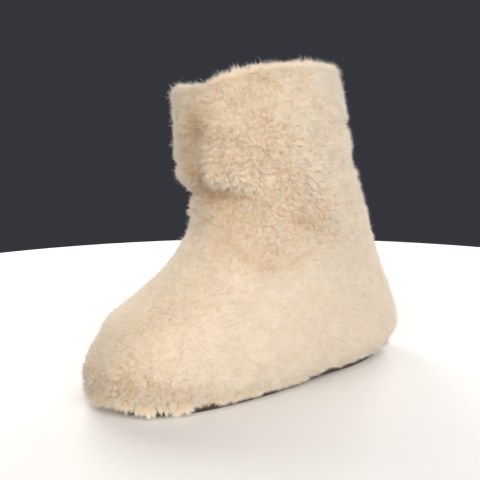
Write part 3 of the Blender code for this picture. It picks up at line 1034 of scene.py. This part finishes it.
def make_lining(sheet, material, rng):
    """Pile of the lining, denser at the collar, where it shows, and at its foot."""
    rows = np.arange(len(sheet.point))
    low = len(rows) - ROWS_FOOT
    below_collar = smooth_step(rows, ROWS_UNDER_LIP, ROWS_UNDER_LIP + LINING_COLLAR_ROWS)
    weight = plus_share(LINING_WEIGHT, 1 - below_collar)
    weight = weight + LINING_WEIGHT_FOOT * smooth_step(rows, low - LINING_FOOT_ROWS, low)
    row, turn = spread(sheet, ROWS_UNDER_LIP - 2, len(rows) - 1, LINING_STRANDS, rng, weight)
    ground, normal = footing(sheet, row, turn)
    root = ground - normal * HIDE_DEPTH_LINING
    way = look_up(sheet.up_way, row, turn) * LINING_DOWN + np.cross(normal, rng.normal(0, 1, normal.shape))
    tall = HIDE_DEPTH_LINING * rng.uniform(*LINING_HEIGHTS, LINING_STRANDS)
    lean = tall * rng.uniform(*LINING_LEANS, LINING_STRANDS)
    tip = root + normal * tall[:, None] + unit(way) * lean[:, None]
    tone = rng.normal(*LINING_TONES, (LINING_STRANDS, 1))
    facing = faces_out(normal, tip - root, STRAND_TWIST, rng)
    piece = ribbons(
        "wool_lining",
        np.stack([root, tip], axis=1),
        LINING_WIDTH * rng.uniform(*STRAND_WIDTHS, LINING_STRANDS),
        facing,
        unit(normal + facing * SHORT_PILE_FACING),
        root_to_tip(LINING_ROOT, CREAM, tone),
        material,
    )


def grid_faces(rows, columns, closed_rows):
    """Triangles of a grid that is closed round each row, and from the last row to the first if asked."""
    low = np.arange(rows if closed_rows else rows - 1)[:, None] * columns
    high = (low + columns) % (rows * columns)
    here = np.arange(columns)[None, :]
    ahead = (here + 1) % columns
    quads = np.stack([low + here, low + ahead, high + ahead, high + here], axis=-1).reshape(-1, 4)
    return np.concatenate([quads[:, [0, 1, 2]], quads[:, [0, 2, 3]]])


def grid_places(rows, columns):
    """Places to bake a grid to."""
    across, up = np.meshgrid(np.linspace(*BAKE_SPAN, columns), np.linspace(*BAKE_SPAN, rows))
    return np.stack([across, up], axis=-1).reshape(-1, 2)


def make_hide(sheet, material):
    """The hide under the pile: outside, lip and lining as one closed wall."""
    rows = np.concatenate(
        [
            np.arange(0, ROWS_OUTSIDE, HIDE_STEP_OUTSIDE),
            np.arange(ROWS_OUTSIDE, ROWS_UNDER_LIP, HIDE_STEP_LIP),
            np.arange(ROWS_UNDER_LIP, len(sheet.point) - 1, HIDE_STEP_LINING),
            [len(sheet.point) - 1],
        ]
    )
    hide = (sheet.point - sheet.normal * sheet.depth)[rows][:, ::HIDE_STEP_ROUND]
    shape = hide.shape[:2]
    # The hide has the roots' colours, darker as painted shade under the pile
    tints = np.where((rows < ROWS_UNDER_LIP)[:, None, None], np.array(SHADED_ROOT), np.array(LINING_ROOT))
    tints = np.broadcast_to(tints, hide.shape).reshape(-1, 3)
    faces = grid_faces(*shape, True)
    piece = mesh_piece("wool_hide", hide.reshape(-1, 3), faces, None, tints, grid_places(*shape), material)
    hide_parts("upper")


def footbed_point(angle, reach, rise):
    """Points of the footbed at angles, shares of the way out to its edge, and rises above its base."""
    hem = SECTIONS["hem"]
    middle = hem.back + hem.widest * (hem.front - hem.back)
    ends = (hem.front - INSOLE_INSET, hem.back + INSOLE_INSET)
    sides = (hem.outer - INSOLE_INSET, hem.inner - INSOLE_INSET)
    along, across, _ = ring(angle, *ends, middle, *sides, hem.round_front, hem.round_back)
    along = middle + (along - middle) * reach
    across = follow_last(along, across * reach, hem.front_z)
    height = SOLE_THICK + GAP + sole_lift(along, across) + rise
    return np.stack([across - MIDDLE_ACROSS, MIDDLE_ALONG - along, height], axis=-1)


def footbed_crown(reach):
    """Height of the footbed's top above its base, at shares of the way out to its edge."""
    return FOOTBED_EDGE + (INSOLE_THICK - FOOTBED_EDGE) * np.sqrt(1 - reach**FOOTBED_SQUARE)


def make_footbed(material, rng):
    """The wool footbed: a soft pad that stands for the insole, and its pile."""
    columns = FOOTBED_COLUMNS
    turns = np.linspace(0, 2 * math.pi, columns, endpoint=False)
    under = np.linspace(FOOTBED_MIDDLE, 1, FOOTBED_RINGS_UNDER)
    over = np.linspace(1, FOOTBED_MIDDLE, FOOTBED_RINGS_OVER)
    reach = np.concatenate([under, over])[:, None]
    rise = np.concatenate([np.zeros(len(under)), footbed_crown(over)])[:, None]
    points = footbed_point(np.broadcast_to(turns, (len(reach), columns)), reach, rise)
    points[len(under) :, :, 2] += FOOTBED_LUMP * lumps(points[len(under) :], PAD_LUMPS)

    rows = len(reach)
    first = points[0].mean(axis=0)
    last = points[-1].mean(axis=0)
    here = np.arange(columns)
    ahead = (here + 1) % columns
    top = (rows - 1) * columns
    caps = [
        np.stack([ahead, here, np.full(columns, rows * columns)], axis=-1),
        np.stack([top + here, top + ahead, np.full(columns, rows * columns + 1)], axis=-1),
    ]
    points = np.concatenate([points.reshape(-1, 3), [first, last]])
    pad = mesh_piece(
        "footbed_pad",
        points,
        np.concatenate([grid_faces(rows, columns, False), *caps]),
        None,
        np.broadcast_to(np.array(FOOTBED_TAN), points.shape),
        np.concatenate([grid_places(rows, columns), [(0.5, 0.0), (0.5, 1.0)]]),
        material,
    )
    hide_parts("insole")

    count = FOOTBED_STRANDS
    angle = rng.uniform(0, 2 * math.pi, count)
    reach = np.sqrt(rng.uniform(0, FOOTBED_MOST_AREA, count))
    at_rim = rng.random(count) < FOOTBED_RIM_SHARE
    reach = np.where(at_rim, rng.uniform(*FOOTBED_RIM, count), reach)
    root = footbed_point(angle, reach, footbed_crown(reach) - FOOTBED_ROOT)
    normal = np.broadcast_to([0.0, 0.0, 1.0], root.shape)
    tall = rng.uniform(*FOOTBED_HEIGHTS, count)[:, None]
    outwards = unit((root - root.mean(axis=0)) * [1, 1, 0]) * smooth_step(reach, *FOOTBED_RIM_BAND)[:, None]
    way = rng.normal(0, 1, root.shape) * [1, 1, 0] + FOOTBED_RIM_OUT * outwards
    tip = root + normal * tall + unit(way) * tall * rng.uniform(*FOOTBED_LEANS, (count, 1))
    tone = 1 + FOOTBED_TONE_LUMPS * lumps(root, FOOTBED_TONES)[:, None]
    tone = tone + rng.normal(0, FOOTBED_TONE, (count, 1))
    facing = faces_out(normal, tip - root, STRAND_TWIST, rng)
    pile = ribbons(
        "footbed_pile",
        np.stack([root, tip], axis=1),
        FOOTBED_WIDTH * rng.uniform(*STRAND_WIDTHS, count),
        facing,
        unit(normal + facing * SHORT_PILE_FACING),
        root_to_tip(FOOTBED_TAN, FOOTBED_CREAM, tone),
        material,
    )
    pile.visible_shadow = False


def set_inputs(node, values):
    """Sets a node's sockets by their names."""
    for name, value in values.items():
        node.inputs[name].default_value = value


class Look:
    """A material, with short calls to add nodes to its shader and to join them."""

    def __init__(self, name, values):
        self.material = bpy.data.materials.new(name)
        self.material.use_nodes = True
        self.nodes = self.material.node_tree.nodes
        self.shader = self.nodes["Principled BSDF"]
        set_inputs(self.shader, values)

    def add(self, kind, values):
        node = self.nodes.new(kind)
        set_inputs(node, values)
        return node

    def join(self, node, output, other, socket):
        self.material.node_tree.links.new(node.outputs[output], other.inputs[socket])

    def noise(self, scale, detail):
        """A noise that lies still on the piece."""
        made = self.add("ShaderNodeTexNoise", {"Scale": scale, "Detail": detail})
        self.join(self.add("ShaderNodeTexCoord", {}), "Object", made, "Vector")
        return made

    def ramp(self, source, low, high, low_colour, high_colour):
        """The noise's value as a colour that passes from one to another between two values."""
        made = self.add("ShaderNodeValToRGB", {})
        for element, place, colour in zip(made.color_ramp.elements, (low, high), (low_colour, high_colour)):
            element.position = place
            element.color = (*colour, 1)
        self.join(source, "Fac", made, "Fac")
        return made


def dress_outsole(name):
    """Suede for the outsole: a nap with brushed clouds, fine grain and scuffs that are worn paler."""
    sheen = {"Sheen Weight": 0.3, "Sheen Roughness": 0.4, "Sheen Tint": (0.55, 0.42, 0.32, 1)}
    look = Look(name, {"Specular IOR Level": 0.3, **sheen})
    clouds = look.ramp(look.noise(90, 6), 0.3, 0.7, SUEDE_DARK, SUEDE)
    worn = look.ramp(look.noise(35, 9), 0.56, 0.72, (0, 0, 0), (0.6, 0.6, 0.6))
    mix = look.add("ShaderNodeMix", {})
    mix.data_type = "RGBA"
    set_inputs(mix, {"B": (*SUEDE_WORN, 1)})
    look.join(worn, "Color", mix, "Factor")
    look.join(clouds, "Color", mix, "A")
    look.join(mix, "Result", look.shader, "Base Color")

    grain = look.noise(2200, 3)
    rough = look.add("ShaderNodeMapRange", {"To Min": 0.78, "To Max": 0.98})
    look.join(grain, "Fac", rough, "Value")
    look.join(rough, "Result", look.shader, "Roughness")
    bump = look.add("ShaderNodeBump", {"Strength": 0.5, "Distance": 0.0004})
    look.join(grain, "Fac", bump, "Height")
    look.join(bump, "Normal", look.shader, "Normal")
    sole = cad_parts["outsole"]
    sole.data.materials.clear()
    sole.data.materials.append(look.material)


def wool_material(name):
    """Wool that takes its colour from the pieces' tints, with a slight mottle."""
    sheen = {"Sheen Weight": 0.05, "Sheen Roughness": 0.5, "Sheen Tint": (1.0, 0.94, 0.86, 1)}
    look = Look(name, {"Roughness": 0.9, "Specular IOR Level": 0.25, **sheen})
    tint = look.add("ShaderNodeAttribute", {})
    tint.attribute_name = "tint"
    mottle = {"From Min": 0.3, "From Max": 0.7, "To Min": 0.985, "To Max": 1.015}
    tone = look.add("ShaderNodeMapRange", mottle)
    mix = look.add("ShaderNodeMix", {})
    mix.data_type = "RGBA"
    mix.blend_type = "MULTIPLY"
    set_inputs(mix, {"Factor": 1})
    look.join(look.noise(55, 4), "Fac", tone, "Value")
    look.join(tint, "Color", mix, "A")
    look.join(tone, "Result", mix, "B")
    look.join(mix, "Result", look.shader, "Base Color")
    # A flat strand is lit by the wool's own rounding on both of its faces.
    surface = look.add("ShaderNodeNewGeometry", {})
    turn = look.add("ShaderNodeMapRange", {"To Min": 1, "To Max": -1})
    outwards = look.add("ShaderNodeVectorMath", {})
    outwards.operation = "SCALE"
    look.join(surface, "Backfacing", turn, "Value")
    look.join(surface, "Normal", outwards, "Vector")
    look.join(turn, "Result", outwards, "Scale")
    look.join(outwards, "Vector", look.shader, "Normal")
    # Light also comes through a strand from behind.
    through = look.add("ShaderNodeBsdfTranslucent", {})
    both = look.add("ShaderNodeMixShader", {"Fac": THROUGH_SHARE})
    look.join(mix, "Result", through, "Color")
    look.join(look.shader, "BSDF", both, 1)
    look.join(through, "BSDF", both, 2)
    look.join(both, "Shader", look.nodes["Material Output"], "Surface")
    return look.material


def make_floor():
    mesh = bpy.data.meshes.new("floor")
    turns = np.linspace(0, 2 * math.pi, FLOOR_SIDES, endpoint=False)
    ring = [(FLOOR_RADIUS * math.cos(turn), FLOOR_RADIUS * math.sin(turn), 0.0) for turn in turns]
    mesh.from_pydata(ring, [], [list(range(FLOOR_SIDES))])
    floor = bpy.data.objects.new("floor", mesh)
    look = Look("pale_floor", {"Base Color": (*FLOOR_COLOUR, 1), "Roughness": FLOOR_ROUGHNESS})
    floor.data.materials.append(look.material)
    bpy.context.scene.collection.objects.link(floor)


def add_aimed(name, data, place, aim, roll=0):
    """An object at a place that looks at its aim, rolled by degrees about that line."""
    made = bpy.data.objects.new(name, data)
    made.location = place
    made.rotation_mode = "QUATERNION"
    aimed = (Vector(aim) - Vector(place)).to_track_quat("-Z", "Y")
    made.rotation_quaternion = aimed @ Quaternion((0, 0, 1), math.radians(roll))
    bpy.context.scene.collection.objects.link(made)
    return made


def make_light():
    world = bpy.data.worlds.new("studio")
    bpy.context.scene.world = world
    world.use_nodes = True
    set_inputs(world.node_tree.nodes["Background"], {"Color": (*SKY, 1), "Strength": 1.0})
    for name, lamp in LAMPS.items():
        light = bpy.data.lights.new(name, "AREA")
        light.shape = "DISK"
        light.size = lamp.size
        light.energy = lamp.power
        light.color = lamp.colour
        add_aimed(name, light, lamp.place, LAMP_AIM)
    bpy.context.scene.view_settings.view_transform = "Standard"


def make_camera():
    camera = bpy.data.cameras.new("camera")
    camera.lens = CAMERA_LENS
    camera.sensor_width = CAMERA_SENSOR
    camera.clip_start = CAMERA_NEAR
    bpy.context.scene.camera = add_aimed("camera", camera, CAMERA_PLACE, CAMERA_AIM, CAMERA_ROLL)


def main():
    rng = np.random.default_rng(SEED)
    sheet = make_sheet()
    wool = wool_material("wool")
    make_hide(sheet, wool)
    for make in (make_pile, make_fuzz, make_fringe, make_strays, make_lining):
        make(sheet, wool, rng)
    make_footbed(wool, rng)
    dress_outsole("suede")
    make_floor()
    make_light()
    make_camera()


main()
